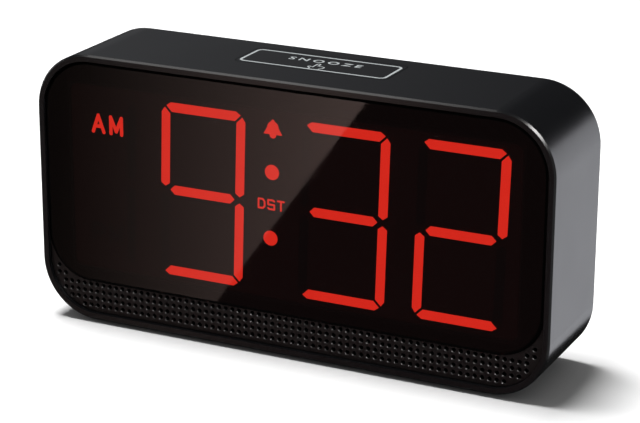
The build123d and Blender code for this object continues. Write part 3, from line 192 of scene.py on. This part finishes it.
materials = {
    "satin_black_case": surface_finish("satin_black_abs", (0.0048, 0.0050, 0.0058), 0.24, ior=1.55,
                                       mottle=0.10, mottle_size=0.02, rough_change=0.02,
                                       grain_size=0.00035, grain_height=0.0000012),
    "brown_black_grille": surface_finish("brown_black_grille", (0.0085, 0.0055, 0.0055), 0.36,
                                         grain_size=0.00025, grain_height=0.000003),
    "smoked_lens": smoked_acrylic(),
    "black_tape": surface_finish("black_tape", (0.006, 0.006, 0.006), 0.6),
    "black_cloth": surface_finish("black_cloth", (0.006, 0.006, 0.006), 0.9, grain_size=0.0004,
                                  grain_height=0.00005),
    "black_cover": surface_finish("spark_textured_black_abs", (0.012, 0.012, 0.013), 0.46,
                                  grain_size=0.00045, grain_height=0.000018),
    "black_screws": surface_finish("black_oxide_screws", (0.03, 0.03, 0.032), 0.34, metallic=0.85),
    "plated_screws": surface_finish("zinc_screws", (0.55, 0.56, 0.58), 0.28, metallic=1.0),
    "black_rubber": surface_finish("black_rubber", (0.012, 0.012, 0.012), 0.72, grain_height=0.00001),
    "grey_keys": surface_finish("grey_key_plastic", (0.075, 0.078, 0.085), 0.40,
                                grain_height=0.000006),
    "switch_plastic": surface_finish("switch_plastic", (0.02, 0.02, 0.021), 0.45),
    "tin_plate": surface_finish("tin_plate", (0.62, 0.62, 0.60), 0.26, metallic=1.0, rough_change=0.08,
                                mottle_size=0.002),
    "green_board": surface_finish("green_solder_mask", (0.008, 0.075, 0.030), 0.30, mottle=0.2,
                                  mottle_size=0.003),
    "chip_black": surface_finish("chip_epoxy", (0.016, 0.016, 0.017), 0.55),
    "capacitor_sleeve": surface_finish("capacitor_sleeve", (0.012, 0.020, 0.055), 0.32),
    "black_foam": surface_finish("black_foam", (0.010, 0.010, 0.010), 0.95, grain_size=0.0006,
                                 grain_height=0.00012),
    "speaker_steel": surface_finish("speaker_steel", (0.42, 0.43, 0.44), 0.34, metallic=1.0),
    "speaker_rubber": surface_finish("speaker_rubber", (0.014, 0.014, 0.014), 0.5),
    "paper_cone": surface_finish("paper_cone", (0.030, 0.028, 0.026), 0.88, mottle=0.3,
                                 grain_size=0.0009, grain_height=0.00006),
    "copper_coil": surface_finish("copper_coil", (0.72, 0.30, 0.14), 0.30, metallic=1.0,
                                  stretch=(1.0, 0.08, 1.0)),
    "magnet_steel": surface_finish("magnet_steel", (0.34, 0.35, 0.37), 0.36, metallic=1.0),
    "wire_red": surface_finish("red_wire", (0.42, 0.02, 0.015), 0.42),
    "wire_black": surface_finish("black_wire", (0.014, 0.014, 0.014), 0.42),
    "ribbon_white": surface_finish("white_ribbon", (0.62, 0.61, 0.56), 0.5),
    "plug_ivory": surface_finish("ivory_plug", (0.66, 0.60, 0.46), 0.4),
    "reflector_black": painted_glow_reflector(),
    "led_body": surface_finish("led_body", (0.70, 0.66, 0.58), 0.35),
    "lit_red": lit_diffuser(),
    "unlit_smoke": surface_finish("unlit_diffuser", (0.005, 0.0035, 0.0035), 0.6),
}

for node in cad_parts.values():
    node_slot = node.material_slots[0]
    node_slot.material = materials[node_slot.material.name]


# ---------------------------------------------------------------- studio

def emission_material(name, colour, strength):
    """Plain light of one colour."""
    material = bpy.data.materials.new(name)
    material.use_nodes = True
    tree = material.node_tree
    tree.nodes.remove(tree.nodes["Principled BSDF"])
    light = tree.nodes.new("ShaderNodeEmission")
    light.inputs["Color"].default_value = (*colour, 1.0)
    light.inputs["Strength"].default_value = strength
    tree.links.new(light.outputs["Emission"], tree.nodes["Material Output"].inputs["Surface"])
    return material


def add_floor():
    """A pale floor, seen by the camera and by light but not mirrored in the gloss."""
    half = 3.0
    data = bpy.data.meshes.new("studio_floor")
    data.from_pydata([(-half, -half, 0), (half, -half, 0), (half, half, 0), (-half, half, 0)], [],
                     [(0, 1, 2, 3)])
    floor = bpy.data.objects.new("studio_floor", data)
    bpy.context.scene.collection.objects.link(floor)
    material, tree, shader = new_material("pale_floor")
    shader.inputs["Base Color"].default_value = (0.86, 0.86, 0.86, 1.0)
    shader.inputs["Roughness"].default_value = 1.0
    shader.inputs["Specular IOR Level"].default_value = 0.0
    data.materials.append(material)
    floor.visible_glossy = False
    floor.visible_transmission = False


def studio_world():
    """White to the camera, even soft light on matt surfaces, and a dim room in the gloss."""
    world = bpy.data.worlds.new("studio_world")
    bpy.context.scene.world = world
    world.use_nodes = True
    tree = world.node_tree
    background = tree.nodes["Background"]
    path = tree.nodes.new("ShaderNodeLightPath")
    matt = tree.nodes.new("ShaderNodeMix")
    matt.inputs["A"].default_value = 0.015
    matt.inputs["B"].default_value = 0.18
    tree.links.new(path.outputs["Is Diffuse Ray"], matt.inputs["Factor"])
    seen = tree.nodes.new("ShaderNodeMix")
    seen.inputs["B"].default_value = 1.0
    tree.links.new(path.outputs["Is Camera Ray"], seen.inputs["Factor"])
    tree.links.new(matt.outputs["Result"], seen.inputs["A"])
    tree.links.new(seen.outputs["Result"], background.inputs["Strength"])
    background.inputs["Color"].default_value = (1.0, 1.0, 1.0, 1.0)


def area_light(name, place, target, size, watts, colour=(1.0, 1.0, 1.0), in_gloss=False):
    """A square soft box that faces the target."""
    data = bpy.data.lights.new(name, "AREA")
    data.size = size
    data.energy = watts
    data.color = colour
    light = bpy.data.objects.new(name, data)
    light.location = place
    aim_at = Vector(target) - Vector(place)
    light.rotation_euler = aim_at.to_track_quat("-Z", "Y").to_euler()
    light.visible_camera = False
    light.visible_glossy = in_gloss
    bpy.context.scene.collection.objects.link(light)


def reflection_card(name, corners, material):
    """A card that only the gloss of the object mirrors."""
    data = bpy.data.meshes.new(name)
    data.from_pydata([tuple(c) for c in corners], [], [tuple(range(len(corners)))])
    card = bpy.data.objects.new(name, data)
    bpy.context.scene.collection.objects.link(card)
    data.materials.append(material)
    card.visible_camera = False
    card.visible_diffuse = False
    card.visible_transmission = False
    card.visible_shadow = False
    return card


def window_card():
    """The card whose slanted edge the lens mirrors: brightest along the edge and fading to the left.

    The edge lies in the plane through the eye's mirror image and the line on the lens where the glare ends.
    """
    face_y = lens_low.y
    mirrored_eye = Vector((eye.x, 2.0 * face_y - eye.y, eye.z))
    edge_foot = Vector((-0.0215, face_y, 0.0130))
    edge_head = Vector((0.0240, face_y, 0.0770))
    along = (edge_head - edge_foot).normalized()
    reach = 0.55
    span = 0.20
    sideways = Vector((-1.0, 0.0, 0.0))

    def beyond(point):
        """The point in front of the lens that shows at this point of it."""
        return point + (point - mirrored_eye).normalized() * reach

    low, high = edge_foot - along * 0.06, edge_head + along * 0.04
    corners = [beyond(low), beyond(high), beyond(high + sideways * span), beyond(low + sideways * span)]
    material = emission_material("window_glow", (1.0, 0.71, 0.64), 1.0)
    tree = material.node_tree
    place = tree.nodes.new("ShaderNodeTexCoord")
    parts = tree.nodes.new("ShaderNodeSeparateXYZ")
    tree.links.new(place.outputs["Object"], parts.inputs["Vector"])
    fade = tree.nodes.new("ShaderNodeMath")
    fade.operation = "POWER"
    tree.links.new(spread(tree, parts.outputs["X"], 0.0, 1.0, -0.36, -0.194), fade.inputs[0])
    fade.inputs[1].default_value = 1.6
    tree.links.new(spread(tree, fade.outputs["Value"], 0.07, 1.30, 0.0, 1.0),
                   tree.nodes["Emission"].inputs["Strength"])
    reflection_card("window_card", corners, material)


def direction(azimuth, elevation, distance):
    """The point at that azimuth (from +Y towards +X) and elevation, in degrees, from the object's middle."""
    a, e = math.radians(azimuth), math.radians(elevation)
    return Vector((
        math.sin(a) * math.cos(e) * distance,
        math.cos(a) * math.cos(e) * distance,
        math.sin(e) * distance + 0.04,
    ))


def card_corners(azimuths, elevations, distance=0.9):
    """The four corners of a card that spans those azimuths and elevations."""
    return [
        direction(azimuths[0], elevations[0], distance),
        direction(azimuths[1], elevations[0], distance),
        direction(azimuths[1], elevations[1], distance),
        direction(azimuths[0], elevations[1], distance),
    ]


def soft_card(name, azimuths, elevations, colour, strength):
    """An evenly lit card that only the gloss of the object mirrors."""
    reflection_card(name, card_corners(azimuths, elevations), emission_material(name + "_glow", colour, strength))


def room_card():
    """The dim room in front, which fills the rest of what the lens mirrors, behind the window card."""
    far_y = -1.1
    corners = [(-1.5, far_y, -1.2), (0.3, far_y, -1.2), (0.3, far_y, 0.3), (-1.5, far_y, 0.3)]
    reflection_card("room_card", corners, emission_material("room_glow", (1.0, 0.58, 0.58), 0.085))


def top_card():
    """The dim wall behind that the top mirrors, fading towards the right-hand end."""
    material = emission_material("top_glow", (0.95, 0.96, 1.0), 1.0)
    tree = material.node_tree
    place = tree.nodes.new("ShaderNodeTexCoord")
    parts = tree.nodes.new("ShaderNodeSeparateXYZ")
    tree.links.new(place.outputs["Object"], parts.inputs["Vector"])
    tree.links.new(spread(tree, parts.outputs["X"], 0.145, 0.0, -0.45, -0.08),
                   tree.nodes["Emission"].inputs["Strength"])
    reflection_card("top_card", card_corners((-60, -8), (2, 45)), material)


add_floor()
studio_world()
window_card()
room_card()
top_card()

# The tall box at the back right is what the right-hand side mirrors. The two bevel cards, above the front,
# show only on bevels and on the lips of the grille's holes. The others shape the gloss from other sides.
soft_card("side_card", (14, 60), (-28, 8), (0.93, 0.94, 1.0), 1.3)
soft_card("left_bevel_card", (-137, -115), (45, 67), (1.0, 0.98, 0.96), 3.5)
soft_card("right_bevel_card", (121, 143), (29, 51), (1.0, 0.98, 0.96), 26.0)
soft_card("right_wall_card", (72, 112), (-35, 25), (0.96, 0.98, 1.0), 0.45)
soft_card("left_wall_card", (245, 290), (-35, 25), (0.96, 0.98, 1.0), 0.45)
soft_card("ceiling_card", (150, 210), (76, 88), (0.96, 0.98, 1.0), 0.35)
area_light("overhead_light", (-0.40, 0.04, 2.0), (0.0, 0.0, 0.03), 0.8, 66.0)
bpy.context.scene.view_settings.view_transform = "Standard"


# ---------------------------------------------------------------- printing

ink_height = 0.015 * MM
ink = surface_finish("pale_screen_ink", (0.315, 0.335, 0.340), 0.62, mottle=0.07, mottle_size=0.0012,
                     grain_size=0.0001, grain_height=0.000002)
rear_ink = surface_finish("pale_pad_ink", (0.52, 0.53, 0.54), 0.62, mottle=0.07, mottle_size=0.0012,
                          grain_size=0.0001, grain_height=0.000002)


def arc(centre, radius, start, end, steps=14):
    """Points at centre + radius (cos a, sin a), with a from start to end in degrees."""
    angle = np.radians(np.linspace(start, end, steps))
    return np.column_stack([centre[0] + radius * np.cos(angle), centre[1] + radius * np.sin(angle)])


def printed_line(path, width, closed=False):
    """Points and faces of a line of ink on the plane of the path, from height 0 to ink_height.

    A point p of the path gives p + n w / 2 and p - n w / 2 at both heights, where n is the path's unit
    normal and w the width, one for the whole line or one for each point. Neighbouring fours are joined
    round, and an open line is capped at its ends.
    """
    path = np.asarray(path, float)
    ahead = np.roll(path, -1, axis=0) if closed else np.vstack([path[1:], path[-1:]])
    behind = np.roll(path, 1, axis=0) if closed else np.vstack([path[:1], path[:-1]])
    along = (ahead - behind) / np.linalg.norm(ahead - behind, axis=1)[:, None]
    normal = np.column_stack([along[:, 1], -along[:, 0]])
    half_width = np.broadcast_to(width, len(path))[:, None] / 2
    right, left = path + normal * half_width, path - normal * half_width
    low, high = np.zeros((len(path), 1)), np.full((len(path), 1), ink_height)
    points = np.stack([np.hstack([right, low]), np.hstack([right, high]),
                       np.hstack([left, high]), np.hstack([left, low])], axis=1).reshape(-1, 3)
    row = np.arange(len(path) if closed else len(path) - 1)[:, None]
    corner = np.arange(4)[None, :]
    beside = (corner + 1) % 4
    onward = (row + 1) % len(path)
    faces = np.stack([onward * 4 + corner, onward * 4 + beside, row * 4 + beside, row * 4 + corner],
                     axis=-1).reshape(-1, 4)
    if not closed:
        last = 4 * (len(path) - 1)
        faces = np.vstack([faces, [[0, 1, 2, 3]], [[last + 3, last + 2, last + 1, last]]])
    return points, faces


def add_print(name, lines, place, body, material):
    """One printed piece from several lines, put in place by the function place."""
    starts = np.cumsum([0] + [len(points) for points, _ in lines[:-1]])
    points = place(np.vstack([points for points, _ in lines]))
    faces = np.vstack([faces + start for (_, faces), start in zip(lines, starts)])
    data = bpy.data.meshes.new(name)
    data.from_pydata(points.tolist(), [], faces.tolist())
    data.materials.append(material)
    piece = bpy.data.objects.new(name, data)
    bpy.context.scene.collection.objects.link(piece)
    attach(piece, body)
    return piece


# ---------------------------------------------------------------- printing on the snooze key


def flat_top(node):
    """The corners of a node's highest level, so without a flange or lip that is lower down."""
    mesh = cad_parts[node].data
    points = np.zeros(len(mesh.vertices) * 3)
    mesh.vertices.foreach_get("co", points)
    points = points.reshape(-1, 3)
    top = points[points[:, 2] > points[:, 2].max() - 0.01 * MM]
    return Vector(top.min(axis=0)), Vector(top.max(axis=0))


key_low, key_high = flat_top("snooze_key")
frame_width = 0.7 * MM
frame_side_inset = 0.7 * MM + frame_width / 2
frame_front_inset = 0.9 * MM + frame_width / 2
frame_back_inset = 1.6 * MM + frame_width / 2
frame_radius = 1.6 * MM


def on_key(points):
    """Points over the key's top, from its own two axes and the height."""
    return points + np.array([0.0, 0.0, key_high.z])


def key_frame():
    """The rounded rectangle just inside the key's edge: four quarter arcs, joined by straight runs."""
    left = key_low.x + frame_side_inset + frame_radius
    right = key_high.x - frame_side_inset - frame_radius
    front = key_low.y + frame_front_inset + frame_radius
    back = key_high.y - frame_back_inset - frame_radius
    path = np.vstack([
        arc((right, front), frame_radius, -90, 0),
        arc((right, back), frame_radius, 0, 90),
        arc((left, back), frame_radius, 90, 180),
        arc((left, front), frame_radius, 180, 270),
    ])
    add_print("snooze_frame_line", [printed_line(path, frame_width, closed=True)], on_key, "snooze", ink)


def pointing_hand():
    """An outline hand whose cuff stands on the frame's front line and whose one finger points to the back.

    The outline is one open path: cuff, thumb, the long finger, then the three folded fingers as arcs.
    """
    middle = Vector((key_low.x + 23.3 * MM, key_low.y + 4.75 * MM))
    outline = np.vstack([
        [(-1.5, -3.7), (-1.5, -2.6)],
        arc((-2.1, -1.4), 0.5, 215, 60),
        [(-0.9, -1.9)],
        arc((-0.3, 2.2), 0.6, 180, 0),
        [(0.3, -0.2)],
        arc((0.8, -0.2), 0.5, 180, 0),
        arc((1.75, -0.4), 0.45, 180, 0),
        arc((2.6, -0.7), 0.4, 180, 0),
        [(3.0, -2.0), (2.2, -2.9), (2.2, -3.7)],
    ]) * 0.82 * MM
    path = outline + np.array([middle.x, middle.y])
    add_print("pointing_hand", [printed_line(path, 0.42 * MM)], on_key, "snooze", ink)


def snooze_word():
    """The word on the key, as closed letters stretched to the width and height that it has there."""
    data = bpy.data.curves.new("snooze_letters", "FONT")
    data.body = "SNOOZE"
    data.extrude = 0.01
    data.offset = 0.018
    data.space_character = 1.45
    holder = bpy.data.objects.new("snooze_letters", data)
    bpy.context.scene.collection.objects.link(holder)
    bpy.context.view_layer.update()
    graph = bpy.context.evaluated_depsgraph_get()
    mesh = bpy.data.meshes.new_from_object(holder.evaluated_get(graph))
    bpy.data.objects.remove(holder)
    points = np.zeros(len(mesh.vertices) * 3)
    mesh.vertices.foreach_get("co", points)
    points = points.reshape(-1, 3)
    low, high = points.min(axis=0), points.max(axis=0)
    size = np.array([22.1 * MM, 2.7 * MM, ink_height])
    corner = np.array([key_low.x + 12.6 * MM, key_low.y + 8.3 * MM, key_high.z])
    points = corner + (points - low) / (high - low) * size
    mesh.vertices.foreach_set("co", points.ravel())
    mesh.materials.clear()
    mesh.materials.append(ink)
    mesh.update()
    word = bpy.data.objects.new("snooze_word", mesh)
    bpy.context.scene.collection.objects.link(word)
    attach(word, "snooze")


key_frame()
pointing_hand()
snooze_word()


# ---------------------------------------------------------------- symbols on the back

cover_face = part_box("rear_cover")[1].y
symbol_line = 0.32 * MM


def middle_of(node):
    """The middle of a node, as seen from behind."""
    low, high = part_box(node)
    return (low + high) / 2


def on_back(middle_x, middle_z):
    """A placing on the cover's outer face: first axis to the right as seen from behind, second up."""
    def place(points):
        return np.column_stack([middle_x - points[:, 0], cover_face + points[:, 2], middle_z + points[:, 1]])
    return place


def symbol(name, paths, x, z, closed=()):
    """A generic sign from its paths in millimetres; the ones whose number is in closed run round."""
    lines = [printed_line(np.asarray(path, float) * MM, symbol_line, closed=i in closed)
             for i, path in enumerate(paths)]
    add_print(name, lines, on_back(x, z), "case", rear_ink)


def ring(centre, radius, steps=33):
    """A whole circle, without its first point again at the end."""
    return arc(centre, radius, 0, 360, steps)[:-1]


bell_outline = np.vstack([[(-1.8, -1.2), (1.8, -1.2), (1.25, -0.4)], arc((0, 0.4), 1.25, 0, 180),
                          [(-1.25, -0.4)]])
bell_clapper = arc((0, -1.55), 0.5, 200, 340)
slash = [(-1.9, -1.9), (1.9, 1.9)]
above_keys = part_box("time_key")[1].z + 4.6 * MM

symbol("time_symbol", [ring((0, 0), 1.9), [(0, 1.2), (0, 0), (0.9, 0)]],
       middle_of("time_key").x, above_keys, closed=(0,))
symbol("alarm_symbol", [bell_outline, bell_clapper], middle_of("alarm_key").x, above_keys, closed=(0,))
symbol("radio_symbol", [ring((-1.4, -1.3), 0.3, 13)] + [arc((-1.4, -1.3), r, 5, 85) for r in (1.2, 2.1, 3.0)],
       middle_of("radio_key").x, above_keys, closed=(0,))
symbol("down_symbol", [[(-1.5, 0.75), (0, -0.75), (1.5, 0.75)]], middle_of("down_key").x, above_keys)
symbol("up_symbol", [[(-1.5, -0.75), (0, 0.75), (1.5, -0.75)]], middle_of("up_key").x, above_keys)

slider_x = middle_of("alarm_slider").x
symbol("alarm_on_symbol", [bell_outline, bell_clapper], slider_x - 4.5 * MM, above_keys, closed=(0,))
symbol("alarm_off_symbol", [bell_outline, bell_clapper, slash], slider_x + 4.5 * MM, above_keys, closed=(0,))

jack = middle_of("dc_jack")
dashes = [[(x - 0.4, -0.5), (x + 0.4, -0.5)] for x in (-1.2, 0, 1.2)]
symbol("supply_symbol", [[(-1.6, 0.5), (1.6, 0.5)]] + dashes, jack.x, jack.z + 7.4 * MM)
port = middle_of("usb_port")
symbol("charge_symbol", [[(0.4, 1.9), (-1.1, -0.25), (-0.1, -0.25), (-0.4, -1.9), (1.1, 0.3), (0.1, 0.3)]],
       port.x, port.z + 5.6 * MM, closed=(0,))


def dimmer_wedge():
    """The growing band round the dial: from -135 to 135 degrees about its top, wider as it goes round."""
    dial = middle_of("dimmer_dial")
    steps = 60
    turn = np.radians(np.linspace(225, -45, steps))
    width = np.linspace(0.1, 1.1, steps)
    radius = 8.6 + width / 2
    path = np.column_stack([radius * np.cos(turn), radius * np.sin(turn)])
    add_print("dimmer_wedge", [printed_line(path * MM, width * MM)], on_back(dial.x, dial.z), "case", rear_ink)


dimmer_wedge()
